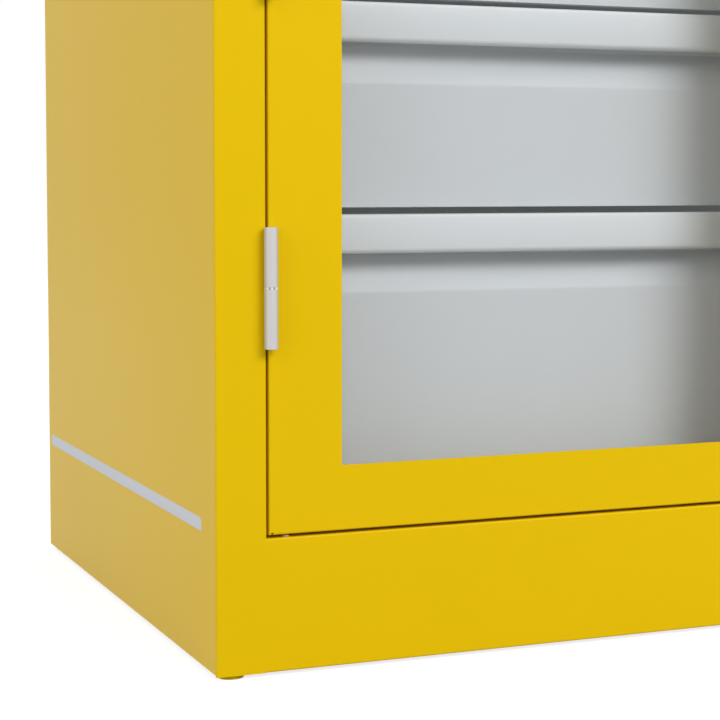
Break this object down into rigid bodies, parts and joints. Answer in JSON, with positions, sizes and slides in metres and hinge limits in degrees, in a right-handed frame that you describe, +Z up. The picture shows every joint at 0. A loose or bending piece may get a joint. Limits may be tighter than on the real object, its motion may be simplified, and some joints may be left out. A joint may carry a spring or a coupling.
{
  "type": "drawer cabinet",
  "caption": "Sheet-steel under-bench cabinet: drawers with rolled grips on telescopic runners behind a hinged window door, on levelling feet.",
  "frame": {"origin": "middle of the bounding box on the floor that the feet stand on", "axes": "+X right and +Y back as seen from the door, +Z up"},
  "size_m": [0.5, 0.532, 0.703],
  "materials": {
    "yellow_powder_coat": "satin powder coat, signal yellow",
    "grey_powder_coat": "satin powder coat, light grey",
    "board_laminate": "matt laminate, light grey",
    "zinc_plate": "bright zinc plate",
    "satin_aluminium": "satin anodised",
    "polished_chrome": "polished",
    "clear_pane": "clear, polished",
    "seal_rubber": "matt black",
    "black_plastic": "fine-grained",
    "white_nylon": "smooth"
  },
  "bodies": {
    "root": {"side_panel_left": "yellow_powder_coat", "side_panel_right": "yellow_powder_coat", "plinth_panel": "yellow_powder_coat", "top_rail": "yellow_powder_coat", "top_panel": "yellow_powder_coat", "back_panel": "yellow_powder_coat", "rear_rail": "yellow_powder_coat", "bottom_board": "board_laminate", "carrier_left": "grey_powder_coat", "carrier_right": "grey_powder_coat", "upper_fascia": "grey_powder_coat", "corner_gussets": "yellow_powder_coat", "foot_front_left": "yellow_powder_coat", "foot_front_right": "yellow_powder_coat", "foot_rear_left": "yellow_powder_coat", "foot_rear_right": "yellow_powder_coat", "foot_nuts": "zinc_plate", "door_glides": "white_nylon", "hinge_frame_lower": "satin_aluminium", "hinge_frame_upper": "satin_aluminium", "hinge_pin_lower": "zinc_plate", "hinge_pin_upper": "zinc_plate", "hinge_washers": "white_nylon", "lock_keeper": "yellow_powder_coat", "magnet_catch": "black_plastic", "runner_fixed_1": "zinc_plate", "runner_fixed_2": "zinc_plate", "runner_fixed_3": "zinc_plate"},
    "door": {"door_shell": "yellow_powder_coat", "door_liner": "yellow_powder_coat", "window_pane": "clear_pane", "pane_seal": "seal_rubber", "hinge_door_lower": "satin_aluminium", "hinge_door_upper": "satin_aluminium", "pull_handle": "satin_aluminium", "handle_screws": "zinc_plate", "lock_housing": "polished_chrome", "lock_nut": "zinc_plate", "strike_plate": "zinc_plate"},
    "lock_core": {"lock_plug": "polished_chrome", "lock_cam": "zinc_plate", "cam_screw": "zinc_plate"},
    "drawer_1": {"drawer_front_1": "grey_powder_coat", "drawer_grip_1": "grey_powder_coat", "drawer_box_1": "grey_powder_coat", "runner_inner_1": "zinc_plate"},
    "runner_slide_1": {"runner_middle_1": "zinc_plate"},
    "drawer_2": {"drawer_front_2": "grey_powder_coat", "drawer_grip_2": "grey_powder_coat", "drawer_box_2": "grey_powder_coat", "runner_inner_2": "zinc_plate"},
    "runner_slide_2": {"runner_middle_2": "zinc_plate"},
    "drawer_3": {"drawer_front_3": "grey_powder_coat", "drawer_grip_3": "grey_powder_coat", "drawer_box_3": "grey_powder_coat", "runner_inner_3": "zinc_plate"},
    "runner_slide_3": {"runner_middle_3": "zinc_plate"}
  },
  "joints": [
    {"name": "door_swing", "type": "hinge", "parent": "root", "child": "door", "pos_m": [-0.2124, -0.239, 0.38105], "axis": [0, 0, -1], "range_deg": [0, 180]},
    {"name": "lock_turn", "type": "hinge", "parent": "door", "child": "lock_core", "pos_m": [0.18615, -0.234, 0.34305], "axis": [0, -1, 0], "range_deg": [0, 90]},
    {"name": "drawer_1_pull", "type": "slide", "parent": "root", "child": "drawer_1", "axis": [0, -1, 0], "range_m": [0, 0.28]},
    {"name": "runner_1_pull", "type": "slide", "parent": "root", "child": "runner_slide_1", "axis": [0, -1, 0], "range_m": [0, 0.14]},
    {"name": "drawer_2_pull", "type": "slide", "parent": "root", "child": "drawer_2", "axis": [0, -1, 0], "range_m": [0, 0.28]},
    {"name": "runner_2_pull", "type": "slide", "parent": "root", "child": "runner_slide_2", "axis": [0, -1, 0], "range_m": [0, 0.14]},
    {"name": "drawer_3_pull", "type": "slide", "parent": "root", "child": "drawer_3", "axis": [0, -1, 0], "range_m": [0, 0.28]},
    {"name": "runner_3_pull", "type": "slide", "parent": "root", "child": "runner_slide_3", "axis": [0, -1, 0], "range_m": [0, 0.14]}
  ],
  "couplings": [
    {"joint": "drawer_1_pull", "follows": "door_swing", "m_per_rad": 0.089127},
    {"joint": "runner_1_pull", "follows": "door_swing", "m_per_rad": 0.044563},
    {"joint": "drawer_2_pull", "follows": "door_swing", "m_per_rad": 0.089127},
    {"joint": "runner_2_pull", "follows": "door_swing", "m_per_rad": 0.044563},
    {"joint": "drawer_3_pull", "follows": "door_swing", "m_per_rad": 0.089127},
    {"joint": "runner_3_pull", "follows": "door_swing", "m_per_rad": 0.044563}
  ]
}
